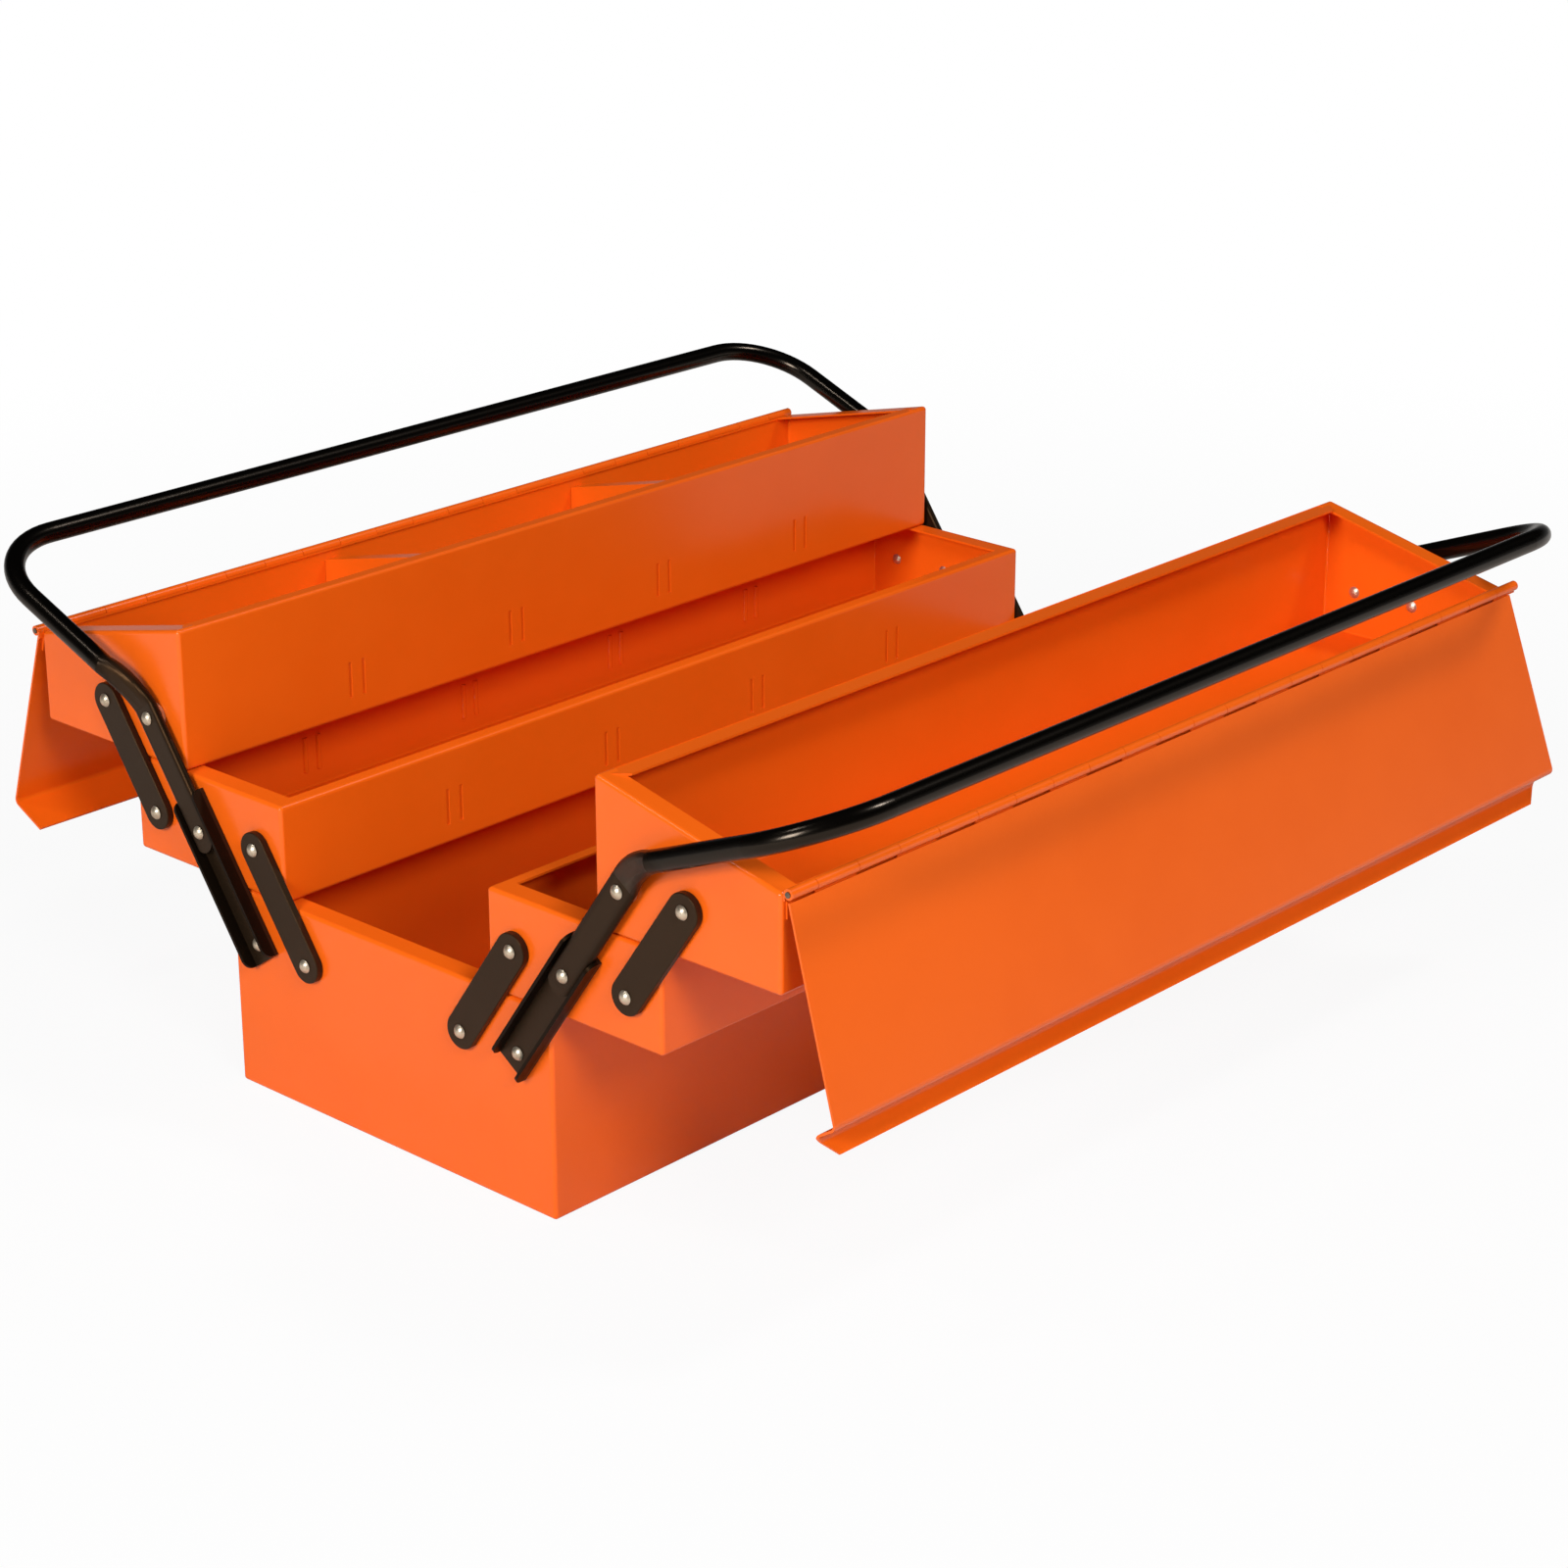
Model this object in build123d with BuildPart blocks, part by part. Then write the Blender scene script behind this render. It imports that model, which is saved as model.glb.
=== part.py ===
from build123d import *
import os
from math import asin, atan, cos, degrees, radians, sin, tan

os.makedirs("parts", exist_ok=True)

# Trays. The box is shown fully open, resting on Z = 0, with its length along X.
length = 500.0              # outside length of every tray
width = 200.0               # outside width of the base tray
base_height = 94.5          # underside to rim of the base tray
middle_height = 45.0        # underside to rim of a middle tray
top_inner_height = 65.2     # inner wall of a top tray
top_outer_height = 42.2     # outer wall of a top tray, under the sloping lid
sheet = 1.0                 # steel sheet of trays, lids and dividers
bend = 1.8                  # outside radius of a folded edge
end_rim = 10.5              # width of the rims folded inward at both ends
wall_rim = 6.5              # width of the rims on the middle trays' long walls
near_rim = 9.8              # width of the level rim on the near top tray's inner wall
far_rim = 6.5               # the same on the far top tray
half_gap = 1.2              # how far the closed trays stay from the middle plane
seat_gap = 0.3              # air between a tray and the rim it rests on

# Guide ribs pressed into the long walls in pairs, to hold cross pieces.
rib_pitch = 100.0
rib_spread = 8.0
rib_height = 17.0
rib_lift = 9.0
rib_radius = 1.3
groove_radius = 1.0

# Swinging linkage.
swing = 34.8                # lean of the links from upright, when open and when closed
pivot_drop = 23.0           # lower pivots, below the base tray's rim
handle_inset = 18.0         # handle pivot, in from the base tray's long wall
lower_inset = 51.1          # lower link pivot, in from the base tray's long wall
upper_inset = 16.8          # upper link pivot, in from the middle tray's outer wall
link_width = 16.0
link_thickness = 3.0
side_gap = 0.4              # air between an end panel and a link or channel
head_gap = 0.3              # air between a link and the rivet head over it
shank_radius = 2.0
play = 0.08                 # radial play of a link on its rivet
panel_play = 0.05           # radial room for a rivet in its own panel
head_radius = 3.1
head_height = 1.8
tail_radius = 2.9
tail_height = 1.2

# Handles: a round tube bent to a U, its two ends flattened.
tube_radius = 4.75
tube_wall = 1.5
flat_width = 14.0
flat_thickness = 4.0
flat_tail = 9.5             # flattened end past the middle rivet
kink_reach = 18.7           # corner between flattened end and arm, past the top rivet
kink_radius = 45.0          # bend at that corner
arm_length = 105.8
bar_gap = 5.8               # closed handle bar's centre line from the middle plane
corner_radius = 38.0
tube_offset = 9.8           # tube's centre line beyond the end panel
mid_width = 12.2            # half-flattened tube in the middle of the bend
mid_thickness = 6.8

# U-shaped channels that the flattened ends lie in.
channel_width = 17.5
channel_sheet = 1.5
channel_depth = 7.0
channel_foot = 8.0
channel_head = 17.0
channel_corner = 4.5
spacer_radius = 6.0

# Lids and their piano hinges.
lid_width = 91.0            # hinge axis to the bend at the free edge
hinge_side_overhang = -0.5  # lid past the trays' ends, beside the hinge
free_side_overhang = 4.5     # the same at the free edge
near_lid_angle = 18.5       # lean of the open near lid from upright
far_lid_angle = 14.0
near_flange = 12.3
far_flange = 20.0
cap_width = 9.7
cap_mitre = 9.0
lid_bend = 3.0
knuckle_radius = 2.3
knuckle_first = 14.6        # first knuckle is cut short, and so is the last
knuckle_pitch = 23.6
knuckle_gap = 0.3
hinge_sheet = 0.8
hinge_overrun = 4.6         # how much longer a hinge is than the trays
near_hinge_shift = 3.2      # hinge's middle, along the box
far_hinge_shift = 0.5
hinge_leaf = 11.0
leaf_inset = 4.9            # half by which a leaf's flat part is shorter than its hinge
hinge_gap = 0.3             # air around the knuckles and under the closed lid
lid_start = 3.2             # lid's edge, from the hinge axis
lid_drop = 0.5              # lid's underside below the hinge axis, when closed
pin_radius = 1.2
pin_play = 0.07
pin_end = 0.4

# Dividers in the far top tray.
divider_spacing = 166.0
divider_gap = 0.2
divider_drop = 3.0
divider_fold = 8.0
divider_foot = 10.0

# Positions that follow from the sizes above.
end_x = length / 2
hinge_length = length + hinge_overrun
tray_width = width / 2 - half_gap
rise = middle_height + seat_gap
run = rise * tan(radians(swing))
link = rise / cos(radians(swing))
lower_z = base_height - pivot_drop
middle_z = lower_z + rise
upper_z = middle_z + rise
middle_floor = base_height + seat_gap
middle_rim = middle_floor + middle_height
top_floor = middle_rim + seat_gap
middle_inner = half_gap + 2 * run
middle_outer = middle_inner + tray_width
top_inner = half_gap + 4 * run
top_outer = top_inner + tray_width
handle_y = width / 2 - handle_inset
lower_y = width / 2 - lower_inset
upper_y = middle_outer - upper_inset
roof = atan((top_inner_height - top_outer_height) / tray_width)
handle_grip = side_gap + channel_sheet + flat_thickness + head_gap
web_grip = side_gap + channel_sheet + head_gap
link_grip = side_gap + link_thickness + head_gap
hole_radius = shank_radius + play
panel_hole = shank_radius + panel_play


def rounded_block(corners, inset):
    with BuildPart() as block:
        with BuildSketch(Plane.YZ):
            with BuildLine():
                Polyline(*corners, close=True)
            make_face()
            if inset:
                offset(amount=-inset, kind=Kind.INTERSECTION)
        extrude(amount=end_x - inset, both=True)
        fillet(block.edges(), radius=bend - inset)
    return block.part


def folded_tray(corners, low_y, high_y, opening_z, pivots):
    """Tray folded from one sheet, open inside its rims, with rivet holes in both end panels."""
    with BuildPart() as tray:
        add(rounded_block(corners, 0))
        add(rounded_block(corners, sheet), mode=Mode.SUBTRACT)
        with BuildSketch(Plane.XY.offset(opening_z)):
            with Locations((0, (low_y + high_y) / 2)):
                Rectangle(length - 2 * end_rim, high_y - low_y)
        extrude(amount=top_inner_height, mode=Mode.SUBTRACT)
        for y, z in pivots:
            with BuildSketch(Plane.YZ):
                with Locations((y, z)):
                    Circle(panel_hole)
            extrude(amount=length, both=True, mode=Mode.SUBTRACT)
    return tray.part


def ribbed(tray, inner_y, outer_y, floor_z, side):
    """Tray with its guide ribs: ridges on the inside of each long wall, grooves on the outside."""
    columns = GridLocations(rib_pitch, 0, 4, 1).locations
    spots = [place.position.X + edge * rib_spread / 2 for place in columns for edge in (-1, 1)]
    walls = ((side * inner_y, side * (inner_y + sheet)), (side * outer_y, side * (outer_y - sheet)))
    with BuildPart() as result:
        add(tray)
        with BuildSketch(Plane.XY.offset(floor_z + rib_lift)):
            with Locations([(x, inside) for x in spots for outside, inside in walls]):
                Circle(rib_radius)
        extrude(amount=rib_height)
        with BuildSketch(Plane.XY.offset(floor_z + rib_lift)):
            with Locations([(x, outside) for x in spots for outside, inside in walls]):
                Circle(groove_radius)
        extrude(amount=rib_height, mode=Mode.SUBTRACT)
    return result.part


def middle_tray(side):
    corners = (
        (side * middle_inner, middle_floor),
        (side * middle_outer, middle_floor),
        (side * middle_outer, middle_rim),
        (side * middle_inner, middle_rim),
    )
    edges = sorted((side * (middle_inner + wall_rim), side * (middle_outer - wall_rim)))
    pivots = (
        (side * (handle_y + run), middle_z),
        (side * (lower_y + run), middle_z),
        (side * upper_y, middle_z),
    )
    tray = folded_tray(corners, *edges, middle_rim - bend - end_rim, pivots)
    return ribbed(tray, middle_inner, middle_outer, middle_floor, side)


def top_tray(side, inner_rim, has_ribs):
    """Top tray: no rim on its outer wall, a level one on its inner wall, sloping ones at both ends."""
    corners = (
        (side * top_inner, top_floor),
        (side * top_outer, top_floor),
        (side * top_outer, top_floor + top_outer_height),
        (side * top_inner, top_floor + top_inner_height),
    )
    edges = sorted((side * (top_inner + sheet), side * (top_outer - bend)))
    pivots = ((side * (handle_y + 2 * run), upper_z), (side * (upper_y + run), upper_z))
    tray = folded_tray(corners, *edges, top_floor + top_outer_height - end_rim, pivots)
    if has_ribs:
        tray = ribbed(tray, top_inner, top_outer, top_floor, side)
    with BuildPart() as rimmed:
        add(tray)
        with BuildSketch(Plane.XY.offset(top_floor + top_inner_height - sheet - bend / 2)):
            with BuildLine():
                Polyline(
                    (-end_x + bend, side * (top_inner + sheet / 2)),
                    (end_x - bend, side * (top_inner + sheet / 2)),
                    (end_x - bend - inner_rim, side * (top_inner + inner_rim)),
                    (-end_x + bend + inner_rim, side * (top_inner + inner_rim)),
                    close=True,
                )
            make_face()
        extrude(amount=sheet)
    return rimmed.part


def rivets(points, grip):
    """Domed rivets through both end panels, at the given heights and distances from the middle."""
    with BuildPart() as group:
        for end in (-1, 1):
            for y, z in points:
                origin = (end * end_x, y, z)
                with BuildSketch(Plane(origin=origin, x_dir=(end, 0, 0), z_dir=(0, 0, 1))):
                    with BuildLine():
                        Polyline(
                            (-sheet, tail_radius),
                            (-sheet, shank_radius),
                            (grip, shank_radius),
                            (grip, head_radius),
                        )
                        TangentArc((grip + head_height, 0), (grip, head_radius), tangent=(0, 1))
                        Line((grip + head_height, 0), (-sheet - tail_height, 0))
                        TangentArc((-sheet - tail_height, 0), (-sheet, tail_radius), tangent=(0, 1))
                    make_face()
                revolve(axis=Axis(origin, (1, 0, 0)))
    return group.part


def link_plates(side, y, z):
    """Two flat links, one at each end of the box, from a lower pivot to an upper one."""
    lean = (0, side * sin(radians(swing)), cos(radians(swing)))
    with BuildPart() as plates:
        for end in (-1, 1):
            origin = (end * (end_x + side_gap), side * y, z)
            with BuildSketch(Plane(origin=origin, x_dir=lean, z_dir=(end, 0, 0))):
                with Locations((link / 2, 0)):
                    SlotCenterToCenter(link, link_width)
                with Locations((0, 0), (link, 0)):
                    Circle(hole_radius, mode=Mode.SUBTRACT)
            extrude(amount=link_thickness)
        outer_faces = plates.faces().filter_by(Axis.X).sort_by(Axis.X)
        for face in (outer_faces[0], outer_faces[-1]):
            fillet(face.outer_wire().edges(), radius=sheet / 2)
    return plates.part


def channels(side):
    """Two channels, one at each end, with webs on the end panels and flanges standing outward."""
    lean = (0, side * sin(radians(swing)), cos(radians(swing)))
    low = -channel_foot
    high = link + channel_head
    with BuildPart() as group:
        for end in (-1, 1):
            origin = (end * (end_x + side_gap), side * handle_y, lower_z)
            front = Plane(origin=origin, x_dir=lean, z_dir=(end, 0, 0))
            profile = Plane(origin=origin, x_dir=lean, z_dir=front.y_dir)
            out = 1 if profile.y_dir.X * end > 0 else -1
            with BuildSketch(profile) as outline:
                with BuildLine():
                    Polyline(
                        (low, 0),
                        (high, 0),
                        (high, out * channel_depth),
                        (low, out * channel_depth),
                        close=True,
                    )
                make_face()
                tips = outline.vertices().group_by(Axis.Y)[-1 if out > 0 else 0]
                fillet(tips, radius=channel_corner)
            extrude(amount=channel_width / 2, both=True)
            with BuildSketch(front.offset(channel_sheet)):
                with Locations(((low + high) / 2, 0)):
                    Rectangle(high - low, channel_width - 2 * channel_sheet)
            extrude(amount=channel_depth, mode=Mode.SUBTRACT)
            with BuildSketch(front):
                with Locations((0, 0), (link, 0)):
                    Circle(hole_radius)
            extrude(amount=channel_sheet, mode=Mode.SUBTRACT)
    return group.part


def spacers(side):
    """Washers between the top trays' end panels and the flattened handle ends."""
    with BuildPart() as group:
        for end in (-1, 1):
            origin = (end * (end_x + side_gap), side * (handle_y + 2 * run), upper_z)
            with BuildSketch(Plane(origin=origin, x_dir=(0, 1, 0), z_dir=(end, 0, 0))):
                Circle(spacer_radius)
                Circle(hole_radius, mode=Mode.SUBTRACT)
            extrude(amount=channel_sheet)
    return group.part


def handle_end(side, end, kink, lean):
    """Flattened end of a handle, and the bend in which it widens into the round tube."""
    flat_dir = Vector(0, side * sin(radians(swing)), cos(radians(swing)))
    arm_dir = Vector(0, side * sin(radians(lean)), cos(radians(lean)))
    half_turn = radians(lean - swing) / 2
    setback = kink_radius * tan(half_turn)
    crest = kink + (arm_dir - flat_dir).normalized() * kink_radius * (1 / cos(half_turn) - 1)
    flat_x = end * (end_x + side_gap + channel_sheet + flat_thickness / 2)
    tube_x = end * (end_x + tube_offset)
    reach = 2 * link + kink_reach - setback
    tail = link - flat_tail
    foot = Plane(origin=(flat_x, side * handle_y, lower_z), x_dir=(1, 0, 0), z_dir=flat_dir)
    front = Plane(origin=foot.origin, x_dir=flat_dir, z_dir=(end, 0, 0))
    middle = Plane(
        origin=crest + Vector((flat_x + tube_x) / 2, 0, 0), x_dir=(1, 0, 0), z_dir=flat_dir + arm_dir
    )
    finish = Plane(origin=kink + Vector(tube_x, 0, 0) + arm_dir * setback, x_dir=(1, 0, 0), z_dir=arm_dir)
    with BuildPart() as piece:
        with BuildSketch(foot.offset(tail)):
            SlotOverall(flat_width, flat_thickness, rotation=90)
        extrude(amount=reach - tail)
        with BuildSketch(front.offset(-flat_thickness)):
            with Locations((tail + reach, 0)):
                SlotOverall(2 * reach, flat_width)
        extrude(amount=2 * flat_thickness, mode=Mode.INTERSECT)
        with BuildSketch(foot.offset(reach)):
            SlotOverall(flat_width, flat_thickness, rotation=90)
        with BuildSketch(middle):
            SlotOverall(mid_width, mid_thickness, rotation=90)
        with BuildSketch(finish):
            Circle(tube_radius)
        loft()
        with BuildSketch(front):
            with Locations((link, 0), (2 * link, 0)):
                Circle(hole_radius)
        extrude(amount=flat_thickness, both=True, mode=Mode.SUBTRACT)
    return piece.part


def handle(side):
    """U-shaped handle with both of its flattened ends."""
    kink_y = handle_y + 2 * run + kink_reach * sin(radians(swing))
    kink = Vector(0, side * kink_y, upper_z + kink_reach * cos(radians(swing)))
    closed_kink = handle_y - 2 * run - kink_reach * sin(radians(swing))
    lean = 2 * swing - degrees(asin((closed_kink - bar_gap) / arm_length))
    setback = kink_radius * tan(radians(lean - swing) / 2)
    tube_x = end_x + tube_offset
    frame = Plane(
        origin=kink,
        x_dir=(1, 0, 0),
        z_dir=(0, -cos(radians(lean)), side * sin(radians(lean))),
    )
    with BuildPart() as bent:
        with BuildLine(frame) as path:
            FilletPolyline(
                (-tube_x, setback),
                (-tube_x, arm_length),
                (tube_x, arm_length),
                (tube_x, setback),
                radius=corner_radius,
            )
        with BuildSketch(Plane(origin=path.line @ 0, z_dir=path.line % 0)):
            Circle(tube_radius)
            Circle(tube_radius - tube_wall, mode=Mode.SUBTRACT)
        sweep(path=path.line)
        for end in (-1, 1):
            add(handle_end(side, end, kink, lean))
    return bent.part


def hinge_axis():
    """Distance from the middle and height of a lid's hinge axis."""
    out = knuckle_radius + hinge_gap
    level = -lid_drop - hinge_gap
    drop = (level + out * sin(roof)) / cos(roof)
    return top_outer + out, top_floor + top_outer_height - drop


def lid_frame(side, angle):
    """Plane across an open lid: X along its face from the hinge, Y out of its top side."""
    hinge_y, hinge_z = hinge_axis()
    face = (0, side * sin(radians(angle)), -cos(radians(angle)))
    return Plane(origin=(0, side * hinge_y, hinge_z), x_dir=face, z_dir=(-side, 0, 0))


def end_wedges(plane, start, finish, reach):
    """Two blocks that trim a strip's ends along slanted lines; start and finish are half lengths."""
    clear_x = max(start, finish) + sheet
    with BuildPart() as blocks:
        for end in (-1, 1):
            with BuildSketch(plane):
                with BuildLine():
                    Polyline(
                        (end * start, 0),
                        (end * clear_x, 0),
                        (end * clear_x, reach),
                        (end * finish, reach),
                        close=True,
                    )
                make_face()
            extrude(amount=2 * sheet, both=True)
    return blocks.part


def lid(side, angle, flange, cap):
    """Lid with its free edge folded up, and for a cap, folded once more to run level."""
    plane = lid_frame(side, angle)
    up = (sin(roof), cos(roof))
    across = (cos(roof), -sin(roof))
    corner = (lid_width, -lid_drop)
    tip = (corner[0] + flange * up[0], corner[1] + flange * up[1])
    points = [(lid_start, -lid_drop), corner, tip]
    if cap:
        points.append((tip[0] + cap * across[0], tip[1] + cap * across[1]))
    edge_x = end_x + free_side_overhang
    face = Plane(origin=plane.origin, x_dir=(1, 0, 0), z_dir=Vector(1, 0, 0).cross(plane.x_dir))
    with BuildPart() as panel:
        with BuildSketch(plane):
            with BuildLine():
                FilletPolyline(*points, radius=lid_bend)
                offset(amount=sheet, side=Side.LEFT)
            make_face()
        extrude(amount=edge_x, both=True)
        add(end_wedges(face, end_x + hinge_side_overhang, edge_x, lid_width - lid_bend), mode=Mode.SUBTRACT)
        if cap:
            start = plane.from_local_coords(Vector(*tip))
            level = plane.from_local_coords(Vector(*points[-1])) - start
            strip = Plane(origin=start, x_dir=(1, 0, 0), z_dir=Vector(1, 0, 0).cross(level))
            add(end_wedges(strip, edge_x, edge_x - 2 * cap_mitre, 2 * cap), mode=Mode.SUBTRACT)
    return panel.part


def knuckle_spans(first, shift):
    """Ends, along the box, of every other knuckle of a hinge."""
    start = shift - hinge_length / 2
    cuts = round((hinge_length - knuckle_first) / knuckle_pitch)
    edges = [0, *(knuckle_first + index * knuckle_pitch for index in range(cuts)), hinge_length]
    spans = []
    for low, high in zip(edges[first::2], edges[first + 1 :: 2]):
        spans.append((start + low + knuckle_gap / 2, start + high - knuckle_gap / 2))
    return spans


def hinge_leaf_part(plane, first, low, high, shift):
    """Leaf with its own knuckles; low and high are its two faces, from the hinge axis."""
    turn = plane.z_dir.X
    with BuildPart() as leaf:
        with BuildSketch(plane):
            with BuildLine():
                Polyline(
                    (lid_start, low),
                    (hinge_leaf, low),
                    (hinge_leaf, high),
                    (lid_start, high),
                    close=True,
                )
            make_face()
        extrude(amount=hinge_length / 2 - leaf_inset, both=True)
        for left, right in knuckle_spans(first, shift):
            with BuildSketch(plane.offset(turn * left)):
                Circle(knuckle_radius)
                with BuildLine():
                    Polyline((0, low), (lid_start, low), (lid_start, high), (0, high), close=True)
                make_face()
                Circle(pin_radius + pin_play, mode=Mode.SUBTRACT)
            extrude(amount=turn * (right - left))
    return leaf.part


def lid_leaf(side, angle, shift):
    low = sheet - lid_drop
    return hinge_leaf_part(lid_frame(side, angle), 1, low, low + hinge_sheet, shift)


def tray_leaf(side, shift):
    hinge_y, hinge_z = hinge_axis()
    plane = Plane(origin=(0, side * hinge_y, hinge_z), x_dir=(0, 0, -1), z_dir=(-side, 0, 0))
    wall = knuckle_radius + hinge_gap
    return hinge_leaf_part(plane, 0, wall - hinge_sheet, wall, shift)


def hinge_pin(side, shift):
    hinge_y, hinge_z = hinge_axis()
    with BuildPart() as pin:
        with BuildSketch(Plane(origin=(shift, side * hinge_y, hinge_z), z_dir=(1, 0, 0))):
            Circle(pin_radius)
        extrude(amount=hinge_length / 2 + pin_end, both=True)
    return pin.part


def dividers():
    """Cross plates in the far top tray, each with a foot on the floor and a folded top edge."""
    low = top_floor + sheet
    inner = top_inner + sheet + divider_gap
    outer = top_outer - sheet - divider_gap
    slope = tan(roof)
    inner_top = top_floor + top_inner_height - divider_drop - 2 * sheet - (sheet + divider_gap) * slope
    outer_top = inner_top - (outer - inner) * slope
    with BuildPart() as plates:
        for end in (-1, 1):
            x = end * divider_spacing / 2
            with BuildSketch(Plane.YZ.offset(x - sheet / 2)):
                with BuildLine():
                    Polyline(
                        (inner, low + bend),
                        (inner + bend, low),
                        (outer - bend, low),
                        (outer, low + bend),
                        (outer, outer_top),
                        (inner, inner_top),
                        close=True,
                    )
                make_face()
            extrude(amount=sheet)
            with BuildSketch(Plane.YZ.offset(x - sheet / 2)):
                with BuildLine():
                    Polyline(
                        (inner, inner_top - sheet),
                        (outer, outer_top - sheet),
                        (outer, outer_top),
                        (inner, inner_top),
                        close=True,
                    )
                make_face()
            extrude(amount=divider_fold)
            with BuildSketch(Plane.XY.offset(low)):
                with Locations((x + divider_foot / 2, (inner + outer) / 2)):
                    Rectangle(divider_foot, outer - inner - 2 * bend)
            extrude(amount=sheet)
    return plates.part


def save(shape, name):
    shape.label = name
    export_step(shape, "parts/" + name + ".step")


half = width / 2
base_corners = ((-half, 0), (half, 0), (half, base_height), (-half, base_height))
base_handle_points = [(side * handle_y, lower_z) for side in (-1, 1)]
base_link_points = [(side * lower_y, lower_z) for side in (-1, 1)]
base_tray = folded_tray(
    base_corners,
    end_rim - half,
    half - end_rim,
    base_height - bend - end_rim,
    base_handle_points + base_link_points,
)
save(base_tray, "base_tray")
save(rivets(base_handle_points, web_grip), "base_handle_rivets")
save(rivets(base_link_points, link_grip), "base_link_rivets")

for side, label in ((-1, "near_"), (1, "far_")):
    save(middle_tray(side), label + "middle_tray")
    save(rivets([(side * (handle_y + run), middle_z)], handle_grip), label + "middle_handle_rivets")
    middle_link_points = [(side * (lower_y + run), middle_z), (side * upper_y, middle_z)]
    save(rivets(middle_link_points, link_grip), label + "middle_link_rivets")
    save(rivets([(side * (handle_y + 2 * run), upper_z)], handle_grip), label + "top_handle_rivets")
    save(rivets([(side * (upper_y + run), upper_z)], link_grip), label + "top_link_rivets")
    save(link_plates(side, lower_y, lower_z), label + "lower_links")
    save(link_plates(side, upper_y, middle_z), label + "upper_links")
    save(channels(side), label + "handle_channels")
    save(spacers(side), label + "handle_spacers")
    save(handle(side), label + "handle")

save(top_tray(-1, near_rim, False), "near_top_tray")
save(top_tray(1, far_rim, True), "far_top_tray")
save(lid(-1, near_lid_angle, near_flange, cap_width), "near_lid")
save(lid(1, far_lid_angle, far_flange, 0), "far_lid")
save(lid_leaf(-1, near_lid_angle, near_hinge_shift), "near_hinge_lid_leaf")
save(lid_leaf(1, far_lid_angle, far_hinge_shift), "far_hinge_lid_leaf")
save(tray_leaf(-1, near_hinge_shift), "near_hinge_tray_leaf")
save(tray_leaf(1, far_hinge_shift), "far_hinge_tray_leaf")
save(hinge_pin(-1, near_hinge_shift), "near_hinge_pin")
save(hinge_pin(1, far_hinge_shift), "far_hinge_pin")
save(dividers(), "far_top_tray_dividers")
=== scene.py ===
"""Studio picture of a folding steel toolbox, standing open with its trays swung out."""

import math
from collections import namedtuple

import bpy
import bmesh
from mathutils import Matrix, Vector

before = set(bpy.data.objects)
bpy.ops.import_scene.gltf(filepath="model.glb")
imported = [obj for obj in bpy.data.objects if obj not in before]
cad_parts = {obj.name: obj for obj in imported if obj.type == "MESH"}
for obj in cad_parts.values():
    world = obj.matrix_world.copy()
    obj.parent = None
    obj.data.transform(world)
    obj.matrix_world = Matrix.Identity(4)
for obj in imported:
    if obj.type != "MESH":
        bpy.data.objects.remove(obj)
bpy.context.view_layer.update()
scene = bpy.context.scene
scene.view_settings.view_transform = "Standard"


def linear(red, green, blue):
    """Screen colour, 0 to 255, as the linear colour that shaders use."""
    def channel(value):
        value = value / 255
        return value / 12.92 if value <= 0.04045 else ((value + 0.055) / 1.055) ** 2.4
    return (channel(red), channel(green), channel(blue), 1.0)


WHITE = (1.0, 1.0, 1.0, 1.0)

# Camera: seen from the near left, a little above. Lengths are in metres.
VIEW_AZIMUTH = math.radians(-47.59)
VIEW_ELEVATION = math.radians(21.148)
VIEW_DISTANCE = 1.69174
VIEW_CENTRE = Vector((0.0, 0.0, 0.1))
AIM_RIGHT = -0.000713       # the aim, beside the centre and above it as the camera sees them
AIM_UP = -0.003614
FOCAL_PIXELS = 3691.771
IMAGE_PIXELS = 1600
SENSOR_WIDTH = 36.0
CLIP_START = 0.05
CLIP_END = 60.0

# Paints: two tones that drift into each other, two ends of the gloss, and ripples per metre.
Paint = namedtuple("Paint", "light deep gloss_low gloss_high ripple_scale")
ORANGE = Paint(linear(236, 98, 17), linear(233, 95, 14), 0.2, 0.28, 520.0)
BLACK = Paint((0.0012, 0.001, 0.0008, 1), (0.0008, 0.0007, 0.0006, 1), 0.19, 0.24, 300.0)
SATIN = Paint((0.013, 0.0078, 0.0042, 1), (0.0105, 0.0062, 0.0034, 1), 0.36, 0.46, 600.0)
# Darker tone at the edges of the handles' flattened ends: painted shade.
SHADED_FLAT_EDGE_TONE = (0.006, 0.0036, 0.002, 1)
# Darker tone of the channels' flanges: painted shade.
SHADED_FLANGE_TONE = (0.0045, 0.0028, 0.0016, 1)
# Warm tints on the reflections of the dark satin and black parts: painted warm reflection,
# standing in for the orange-lit surroundings they mirror.
WARM_GLOSS = (1.0, 0.52, 0.24, 1)
CLEAR_GLOSS = (1.0, 0.8, 0.62, 1)

PAINT_DEPTH = 0.0002        # full height of a paint's ripples, and of the marks in plated steel
PLATE_DEPTH = 0.0001
ORANGE_RELIEF = 0.08        # share of that height which shows
SATIN_RELIEF = 0.12
HANDLE_RELIEF = 0.05
PLATE_RELIEF = 0.1

ORANGE_SHINE = 0.45         # strength of the mirrored light
SATIN_SHINE = 0.37
FLANGE_SHINE = 0.12
TUBE_SHINE = 0.36
FLAT_EDGE_SHINE = 0.26
FLAT_MIDDLE_SHINE = 0.36

# Channels: the webs lie inside this distance from the middle, and the flanges stand past it. The
# flanges' darker tone and lower shine are painted shade.
WEB_FACE = 0.252
WEB_FADE = 0.0004

# Handles: their flattened ends lean outward with the links.
LINK_LEAN = math.radians(34.8)
FLAT_END = 0.24             # along the lean, where the flattened end turns into the round tube
FLAT_FADE = 0.014
FLAT_LINE = 0.02653         # across the lean, the flattened end's middle line
FLAT_MIDDLE = 0.003         # off that line, where the middle's tone ends and the edge's is whole
FLAT_EDGE = 0.0065

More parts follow.
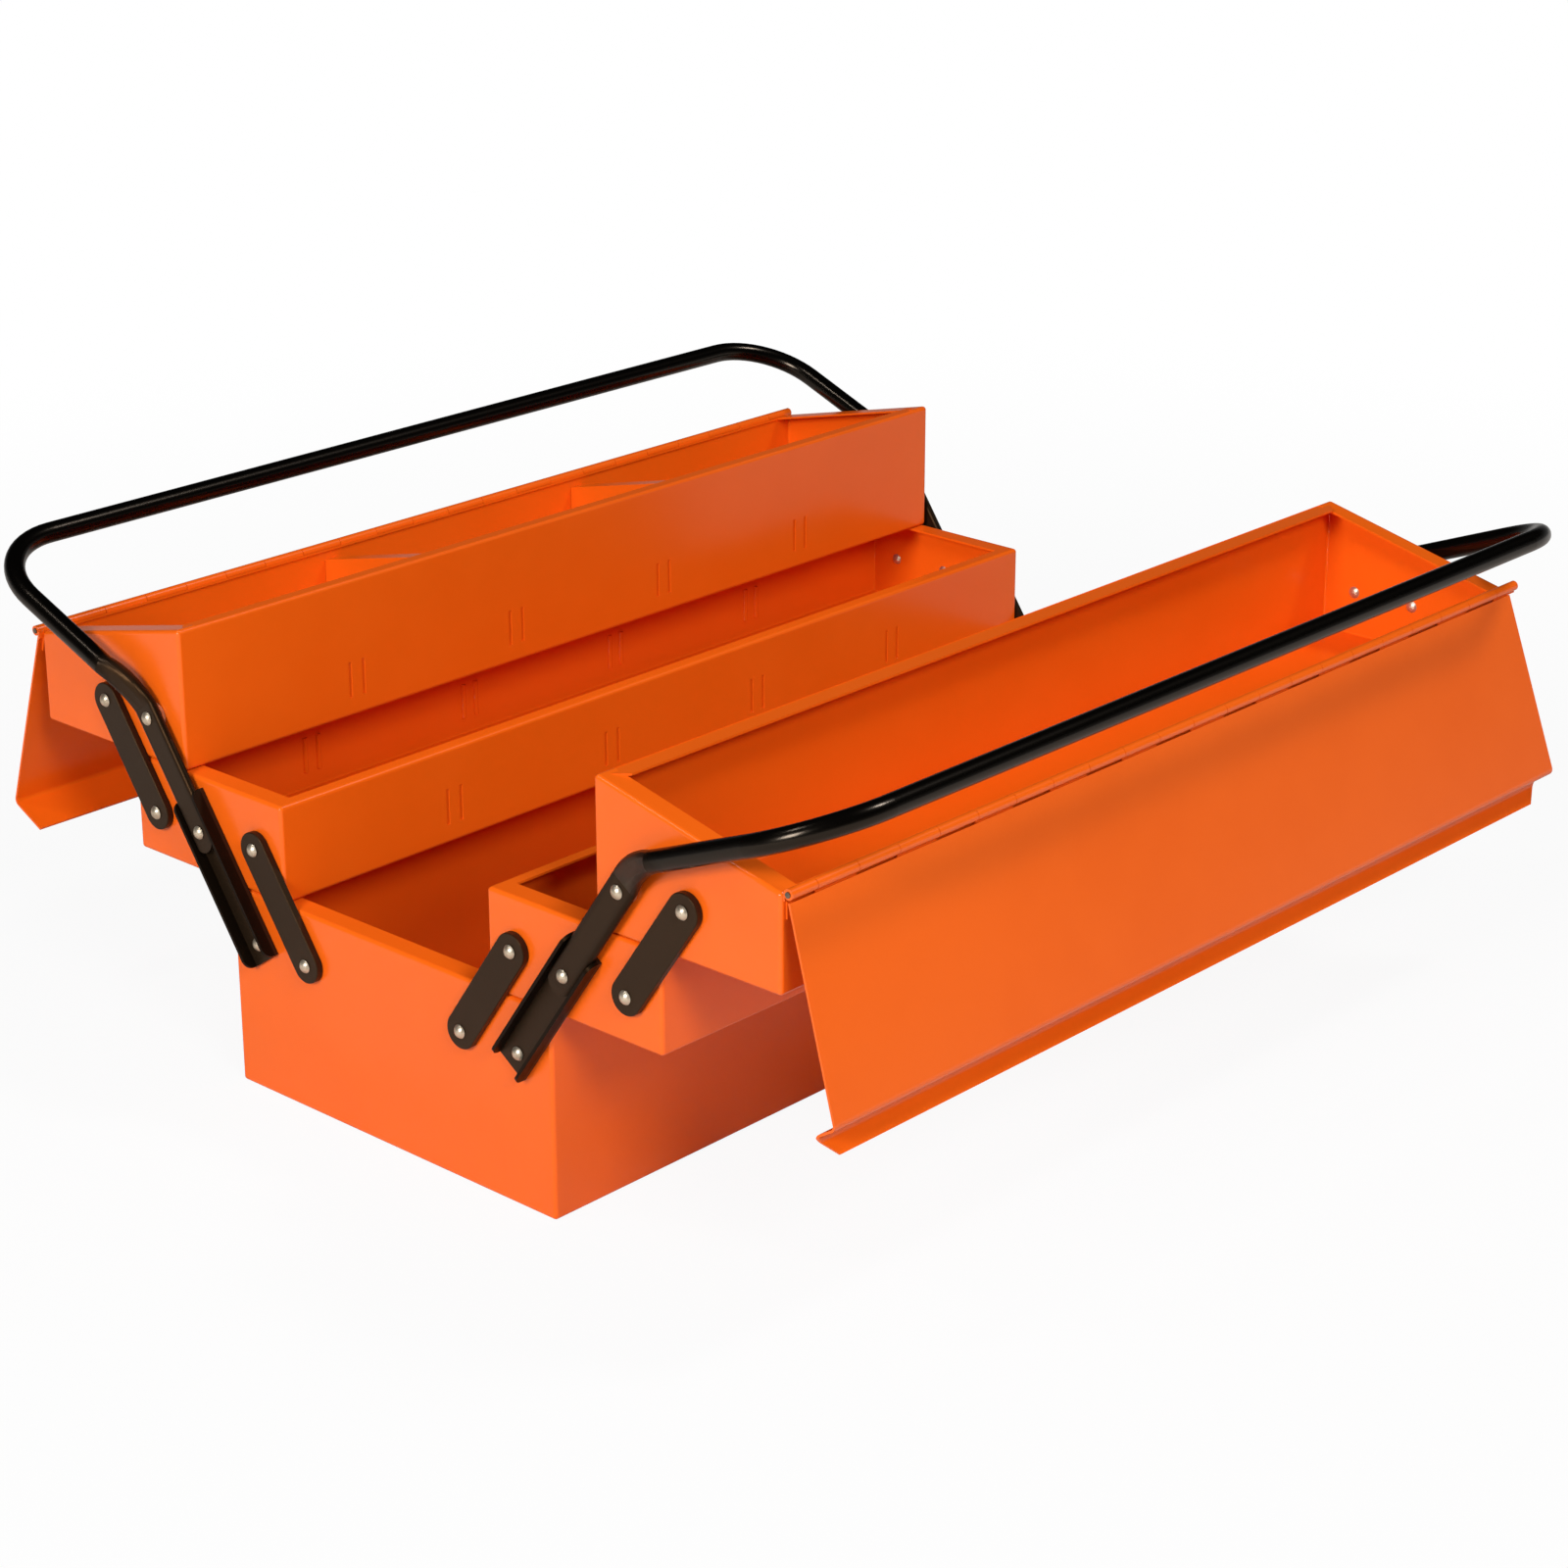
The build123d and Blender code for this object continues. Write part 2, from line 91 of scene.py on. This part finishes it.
# Plated steel: clean tone, stained tone, and its gloss.
RIVET_TONES = (linear(216, 202, 180), linear(186, 171, 148))
PIN_TONES = (linear(128, 118, 106), linear(96, 88, 80))
PLATE_METALLIC = 0.85
PLATE_GLOSS = (0.26, 0.48)
PLATE_MARKS = 1400.0        # handling marks per metre

# Studio: a pale floor and white surroundings. Gloss shows both at a lower strength.
ROOM_GLOW = 0.14            # low surroundings, in gloss
ROOM_LOW = 0.05             # height of direction up to which the room glows whole, in gloss
ROOM_HIGH = 0.35            # and from which it is dark
FILL = 0.035                # light of the surroundings on matt surfaces
FLOOR_RADIUS = 9.0
FLOOR_CORNERS = 96
FLOOR_SEEN = (0.72, 0.72, 0.72, 1)
# Warmer floor colour for bounces and reflections: painted orange spill light from the box.
FLOOR_ORANGE_SPILL = (0.74, 0.67, 0.61, 1)
FLOOR_NEAR = 0.4            # from the box outward, the floor turns from lit to plain white
FLOOR_FAR = 1.3
NEAR_WHITE = 0.92           # share of plain white in the near floor
FLOOR_GLOW = 0.36           # far floor, in gloss

# Lamps: name, place, side of the square, watts, and whether gloss shows the lamp.
LAMP_AIM = Vector((0.0, 0.0, 0.12))
LAMPS = (
    ("left_softbox", (-2.71, -0.452, 1.325), 0.8, 63.0, True),
    ("front_left_softbox", (-1.051, -2.252, 1.8), 0.8, 42.5, False),
    ("high_right_softbox", (1.173, -1.2, 2.607), 0.5, 27.0, True),
    ("high_back_softbox", (-1.419, 0.714, 2.664), 0.3, 8.0, True),
)


def photo_camera():
    back = Vector((
        math.sin(VIEW_AZIMUTH) * math.cos(VIEW_ELEVATION),
        -math.cos(VIEW_AZIMUTH) * math.cos(VIEW_ELEVATION),
        math.sin(VIEW_ELEVATION),
    ))
    right = Vector((math.cos(VIEW_AZIMUTH), math.sin(VIEW_AZIMUTH), 0.0))
    up = back.cross(right)
    aim = VIEW_CENTRE + AIM_RIGHT * right + AIM_UP * up
    data = bpy.data.cameras.new("photo_camera")
    data.sensor_width = SENSOR_WIDTH
    data.lens = FOCAL_PIXELS / IMAGE_PIXELS * SENSOR_WIDTH
    data.clip_start = CLIP_START
    data.clip_end = CLIP_END
    camera = bpy.data.objects.new("photo_camera", data)
    turn = Matrix((right, up, back)).transposed()
    camera.matrix_world = Matrix.Translation(aim + VIEW_DISTANCE * back) @ turn.to_4x4()
    scene.collection.objects.link(camera)
    scene.camera = camera


class Shade:
    """Small helper for wiring one node tree."""

    def __init__(self, tree):
        self.tree = tree

    def node(self, kind, **settings):
        made = self.tree.nodes.new(kind)
        for key, value in settings.items():
            setattr(made, key, value)
        return made

    def put(self, value, socket):
        """Link another node's output into a socket, or give the socket a plain value."""
        if isinstance(value, bpy.types.NodeSocket):
            self.tree.links.new(value, socket)
        else:
            socket.default_value = value

    def calc(self, operation, first, second=None, clamp=False):
        made = self.node("ShaderNodeMath", operation=operation, use_clamp=clamp)
        self.put(first, made.inputs[0])
        if second is not None:
            self.put(second, made.inputs[1])
        return made.outputs[0]

    def between(self, low, high, share):
        """Number that goes from low to high as share goes from 0 to 1."""
        if isinstance(low, float) and isinstance(high, float):
            span = high - low
        else:
            span = self.calc("SUBTRACT", high, low)
        return self.calc("ADD", low, self.calc("MULTIPLY", span, share))

    def ramp(self, value, low, high):
        """Soft step from 0 at low to 1 at high."""
        made = self.node("ShaderNodeMapRange", interpolation_type="SMOOTHSTEP")
        self.put(value, made.inputs["Value"])
        self.put(low, made.inputs["From Min"])
        self.put(high, made.inputs["From Max"])
        return made.outputs["Result"]

    def noise(self, place, scale, detail, rough=0.5):
        made = self.node("ShaderNodeTexNoise")
        self.put(place, made.inputs["Vector"])
        self.put(scale, made.inputs["Scale"])
        self.put(detail, made.inputs["Detail"])
        self.put(rough, made.inputs["Roughness"])
        return made.outputs["Fac"]

    def mix(self, share, first, second):
        """Colour that goes from first to second as share goes from 0 to 1."""
        made = self.node("ShaderNodeMix", data_type="RGBA")
        self.put(share, made.inputs["Factor"])
        self.put(first, made.inputs["A"])
        self.put(second, made.inputs["B"])
        return made.outputs["Result"]

    def axes(self, place):
        made = self.node("ShaderNodeSeparateXYZ")
        self.put(place, made.inputs["Vector"])
        return made.outputs

    def relief(self, height, strength, depth):
        """Normal of a surface with small heights on it."""
        made = self.node("ShaderNodeBump")
        self.put(strength, made.inputs["Strength"])
        self.put(depth, made.inputs["Distance"])
        self.put(height, made.inputs["Height"])
        return made.outputs["Normal"]


def fresh_tree(owner):
    """Helper for the emptied node tree of a material or world."""
    owner.use_nodes = True
    owner.node_tree.nodes.clear()
    return Shade(owner.node_tree)


SKIN_OUTPUTS = (
    ("Color", "NodeSocketColor"),
    ("Roughness", "NodeSocketFloat"),
    ("Height", "NodeSocketFloat"),
)


def new_skin(name, inputs):
    """Node group that turns a place on a surface into its colour, roughness and height."""
    group = bpy.data.node_groups.new(name, "ShaderNodeTree")
    group.interface.new_socket(name="Place", in_out="INPUT", socket_type="NodeSocketVector")
    for label, kind, value in inputs:
        socket = group.interface.new_socket(name=label, in_out="INPUT", socket_type=kind)
        socket.default_value = value
    for label, kind in SKIN_OUTPUTS:
        group.interface.new_socket(name=label, in_out="OUTPUT", socket_type=kind)
    shade = Shade(group)
    return group, shade, shade.node("NodeGroupInput").outputs, shade.node("NodeGroupOutput").inputs


def make_paint_skin():
    """Sprayed coat: orange-peel ripple, slow drift of colour and gloss, and a few dust nibs."""
    group, shade, given, result = new_skin(
        "paint_skin",
        [
            ("Light", "NodeSocketColor", (0.8, 0.2, 0.05, 1)),
            ("Deep", "NodeSocketColor", (0.6, 0.1, 0.02, 1)),
            ("Gloss Low", "NodeSocketFloat", 0.3),
            ("Gloss High", "NodeSocketFloat", 0.4),
            ("Ripple Scale", "NodeSocketFloat", 420.0),
        ],
    )
    place = given["Place"]
    drift = shade.noise(place, scale=7.0, detail=3.0, rough=0.55)
    cloud = shade.noise(place, scale=38.0, detail=2.0)
    tone = shade.ramp(shade.between(drift, cloud, share=0.3), low=0.35, high=0.65)
    shade.put(shade.mix(tone, given["Deep"], given["Light"]), result["Color"])
    fine = shade.noise(place, scale=160.0, detail=3.0, rough=0.6)
    wear = shade.between(drift, fine, share=0.5)
    shade.put(shade.between(given["Gloss Low"], given["Gloss High"], wear), result["Roughness"])
    peel = shade.noise(place, given["Ripple Scale"], detail=2.0)
    specks = shade.node("ShaderNodeTexVoronoi", feature="F1")
    shade.put(place, specks.inputs["Vector"])
    shade.put(55.0, specks.inputs["Scale"])
    nib_radius = 0.045
    nib_height = 0.3
    nib = shade.calc("SUBTRACT", 1.0, shade.ramp(specks.outputs["Distance"], 0.0, nib_radius))
    height = shade.calc("ADD", peel, shade.calc("MULTIPLY", nib, nib_height))
    shade.put(height, result["Height"])
    return group


def make_metal_skin():
    """Plated steel: fine handling marks that change its tone and gloss."""
    group, shade, given, result = new_skin(
        "metal_skin",
        [
            ("Light", "NodeSocketColor", (0.8, 0.8, 0.8, 1)),
            ("Dull", "NodeSocketColor", (0.5, 0.5, 0.5, 1)),
            ("Scale", "NodeSocketFloat", 900.0),
        ],
    )
    place = given["Place"]
    marks = shade.noise(place, given["Scale"], detail=4.0)
    stain = shade.ramp(shade.noise(place, scale=260.0, detail=2.0), low=0.35, high=0.7)
    shade.put(shade.mix(stain, given["Light"], given["Dull"]), result["Color"])
    shade.put(shade.between(*PLATE_GLOSS, marks), result["Roughness"])
    shade.put(marks, result["Height"])
    return group


paint_skin = make_paint_skin()
metal_skin = make_metal_skin()


def new_finish(name):
    material = bpy.data.materials.new(name)
    shade = fresh_tree(material)
    sink = shade.node("ShaderNodeOutputMaterial")
    shader = shade.node("ShaderNodeBsdfPrincipled")
    shade.put(shader.outputs["BSDF"], sink.inputs["Surface"])
    place = shade.node("ShaderNodeTexCoord").outputs["Object"]
    return material, shade, shader.inputs, place


def skin_layer(shade, place, skin, values):
    """Node group's outputs, with its inputs after the place set to values in their order."""
    layer = shade.node("ShaderNodeGroup", node_tree=skin)
    for socket, value in zip(layer.inputs, (place, *values)):
        shade.put(value, socket)
    return layer.outputs


def painted(name, paint, relief, shine, tint):
    material, shade, surface, place = new_finish(name)
    skin = skin_layer(shade, place, paint_skin, paint)
    shade.put(skin["Color"], surface["Base Color"])
    shade.put(skin["Roughness"], surface["Roughness"])
    shade.put(shade.relief(skin["Height"], relief, PAINT_DEPTH), surface["Normal"])
    shade.put(shine, surface["Specular IOR Level"])
    shade.put(tint, surface["Specular Tint"])
    return material


def channel_enamel():
    """The links' satin on a channel's web, and on its flanges a darker tone that is painted shade.
    """
    material, shade, surface, place = new_finish("channel_satin_enamel")
    web = skin_layer(shade, place, paint_skin, SATIN)
    off_middle = shade.calc("ABSOLUTE", shade.axes(place)["X"])
    # Painted shade: the flanges get a darker tone and less shine than the web.
    shaded_flange = shade.ramp(off_middle, WEB_FACE, WEB_FACE + WEB_FADE)
    shade.put(shade.mix(shaded_flange, web["Color"], SHADED_FLANGE_TONE), surface["Base Color"])
    shade.put(web["Roughness"], surface["Roughness"])
    shade.put(shade.relief(web["Height"], SATIN_RELIEF, PAINT_DEPTH), surface["Normal"])
    shade.put(shade.between(SATIN_SHINE, FLANGE_SHINE, shaded_flange), surface["Specular IOR Level"])
    shade.put(WARM_GLOSS, surface["Specular Tint"])
    return material


def leaning_lengths(shade, place):
    """Lengths along and across the handles' flattened ends, the same on the near and far side."""
    axes = shade.axes(place)
    outward = shade.calc("ABSOLUTE", axes["Y"])
    upward = axes["Z"]
    sine = math.sin(LINK_LEAN)
    cosine = math.cos(LINK_LEAN)
    along = shade.calc(
        "ADD", shade.calc("MULTIPLY", outward, sine), shade.calc("MULTIPLY", upward, cosine)
    )
    across = shade.calc(
        "SUBTRACT", shade.calc("MULTIPLY", outward, cosine), shade.calc("MULTIPLY", upward, sine)
    )
    return along, across


def handle_enamel():
    """Gloss black on the round tube, and the links' satin on its flattened ends, darker and less
    shiny towards their edges as painted shade.
    """
    material, shade, surface, place = new_finish("black_gloss_enamel")
    tube = skin_layer(shade, place, paint_skin, BLACK)
    flat = skin_layer(shade, place, paint_skin, SATIN)
    along, across = leaning_lengths(shade, place)
    tube_share = shade.ramp(along, FLAT_END, FLAT_END + FLAT_FADE)
    # Painted shade: the flattened ends grow darker and less shiny from their middle line out to
    # their edges.
    off_line = shade.calc("ABSOLUTE", shade.calc("SUBTRACT", across, FLAT_LINE))
    middle = shade.calc("SUBTRACT", 1.0, shade.ramp(off_line, FLAT_MIDDLE, FLAT_EDGE))
    flat_tone_and_shade = shade.mix(middle, SHADED_FLAT_EDGE_TONE, flat["Color"])
    shade.put(shade.mix(tube_share, flat_tone_and_shade, tube["Color"]), surface["Base Color"])
    rough = shade.between(flat["Roughness"], tube["Roughness"], tube_share)
    shade.put(rough, surface["Roughness"])
    shade.put(shade.relief(flat["Height"], HANDLE_RELIEF, PAINT_DEPTH), surface["Normal"])
    flat_shine = shade.between(FLAT_EDGE_SHINE, FLAT_MIDDLE_SHINE, middle)
    tube_shine = shade.calc("MULTIPLY", tube_share, TUBE_SHINE)
    shade.put(shade.calc("MAXIMUM", flat_shine, tube_shine), surface["Specular IOR Level"])
    # Painted warm reflection: the tint warms what the flattened ends and the tube mirror.
    shade.put(shade.mix(tube_share, WARM_GLOSS, CLEAR_GLOSS), surface["Specular Tint"])
    return material


def plated(name, tones):
    material, shade, surface, place = new_finish(name)
    skin = skin_layer(shade, place, metal_skin, (*tones, PLATE_MARKS))
    shade.put(skin["Color"], surface["Base Color"])
    shade.put(skin["Roughness"], surface["Roughness"])
    shade.put(shade.relief(skin["Height"], PLATE_RELIEF, PLATE_DEPTH), surface["Normal"])
    shade.put(PLATE_METALLIC, surface["Metallic"])
    return material


orange_coat = painted("orange_powder_coat", ORANGE, ORANGE_RELIEF, ORANGE_SHINE, WHITE)
rivet_steel = plated("plated_rivet_steel", RIVET_TONES)
finishes = {
    "rivets": rivet_steel,
    "spacers": rivet_steel,
    "hinge_pin": plated("dull_pin_steel", PIN_TONES),
    "links": painted("dark_satin_enamel", SATIN, SATIN_RELIEF, SATIN_SHINE, WARM_GLOSS),
    "channels": channel_enamel(),
    "handle": handle_enamel(),
}


def finish_for(name):
    for ending, finish in finishes.items():
        if name.endswith(ending):
            return finish
    return orange_coat


for name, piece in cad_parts.items():
    finish = finish_for(name)
    if not piece.material_slots:
        piece.data.materials.append(finish)
    for slot in piece.material_slots:
        slot.material = finish


def soft_lamp(name, place, side, watts, mirrored):
    data = bpy.data.lights.new(name, "AREA")
    data.shape = "SQUARE"
    data.size = side
    data.energy = watts
    lamp = bpy.data.objects.new(name, data)
    spot = Vector(place)
    turn = (spot - LAMP_AIM).to_track_quat("Z", "Y")
    lamp.matrix_world = Matrix.Translation(spot) @ turn.to_matrix().to_4x4()
    lamp.visible_glossy = mirrored
    scene.collection.objects.link(lamp)


def shown_share(shade, seen, mirrored):
    """Share for what the camera sees, and share for what gloss and glass show."""
    path = shade.node("ShaderNodeLightPath").outputs
    gloss = shade.calc("MAXIMUM", path["Is Glossy Ray"], path["Is Transmission Ray"])
    direct = shade.calc("MULTIPLY", path["Is Camera Ray"], seen)
    return shade.calc("ADD", direct, shade.calc("MULTIPLY", gloss, mirrored), clamp=True)


def studio_world():
    """White behind the object. Gloss shows a grey room that is dark overhead."""
    world = bpy.data.worlds.new("studio_world")
    shade = fresh_tree(world)
    sink = shade.node("ShaderNodeOutputWorld")
    direction = shade.axes(shade.node("ShaderNodeTexCoord").outputs["Generated"])
    low = shade.calc("SUBTRACT", 1.0, shade.ramp(direction["Z"], ROOM_LOW, ROOM_HIGH))
    room = shade.calc("MULTIPLY", low, ROOM_GLOW)
    matt_rays = shade.node("ShaderNodeLightPath").outputs["Is Diffuse Ray"]
    fill = shade.calc("MULTIPLY", matt_rays, FILL)
    white = shade.node("ShaderNodeBackground")
    shade.put(WHITE, white.inputs["Color"])
    shade.put(shade.calc("ADD", shown_share(shade, 1.0, room), fill), white.inputs["Strength"])
    shade.put(white.outputs["Background"], sink.inputs["Surface"])
    scene.world = world


def floor_finish():
    """Matt floor that takes the object's shadow, and turns plain white away from it. To rays other
    than the camera's it is warmer, which is painted orange spill light from the box.
    """
    material = bpy.data.materials.new("pale_floor")
    shade = fresh_tree(material)
    sink = shade.node("ShaderNodeOutputMaterial")
    matt = shade.node("ShaderNodeBsdfDiffuse")
    camera_ray = shade.node("ShaderNodeLightPath").outputs["Is Camera Ray"]
    # Painted orange spill light: bounces and reflections see a warmer floor than the camera does.
    shade.put(shade.mix(camera_ray, FLOOR_ORANGE_SPILL, FLOOR_SEEN), matt.inputs["Color"])
    glow = shade.node("ShaderNodeEmission")
    shade.put(1.0, glow.inputs["Strength"])
    reach = shade.node("ShaderNodeVectorMath", operation="LENGTH")
    shade.put(shade.node("ShaderNodeTexCoord").outputs["Object"], reach.inputs[0])
    far = shade.ramp(reach.outputs["Value"], FLOOR_NEAR, FLOOR_FAR)
    seen = shade.between(NEAR_WHITE, 1.0, far)
    mirrored = shade.calc("MULTIPLY", far, FLOOR_GLOW)
    blend = shade.node("ShaderNodeMixShader")
    shade.put(shown_share(shade, seen, mirrored), blend.inputs["Fac"])
    shade.put(matt.outputs["BSDF"], blend.inputs[1])
    shade.put(glow.outputs["Emission"], blend.inputs[2])
    shade.put(blend.outputs["Shader"], sink.inputs["Surface"])
    return material


def studio_floor():
    shell = bmesh.new()
    bmesh.ops.create_circle(
        shell, cap_ends=True, cap_tris=False, segments=FLOOR_CORNERS, radius=FLOOR_RADIUS
    )
    mesh = bpy.data.meshes.new("studio_floor")
    shell.to_mesh(mesh)
    shell.free()
    floor = bpy.data.objects.new("studio_floor", mesh)
    scene.collection.objects.link(floor)
    floor.data.materials.append(floor_finish())


photo_camera()
studio_world()
studio_floor()
for lamp in LAMPS:
    soft_lamp(*lamp)

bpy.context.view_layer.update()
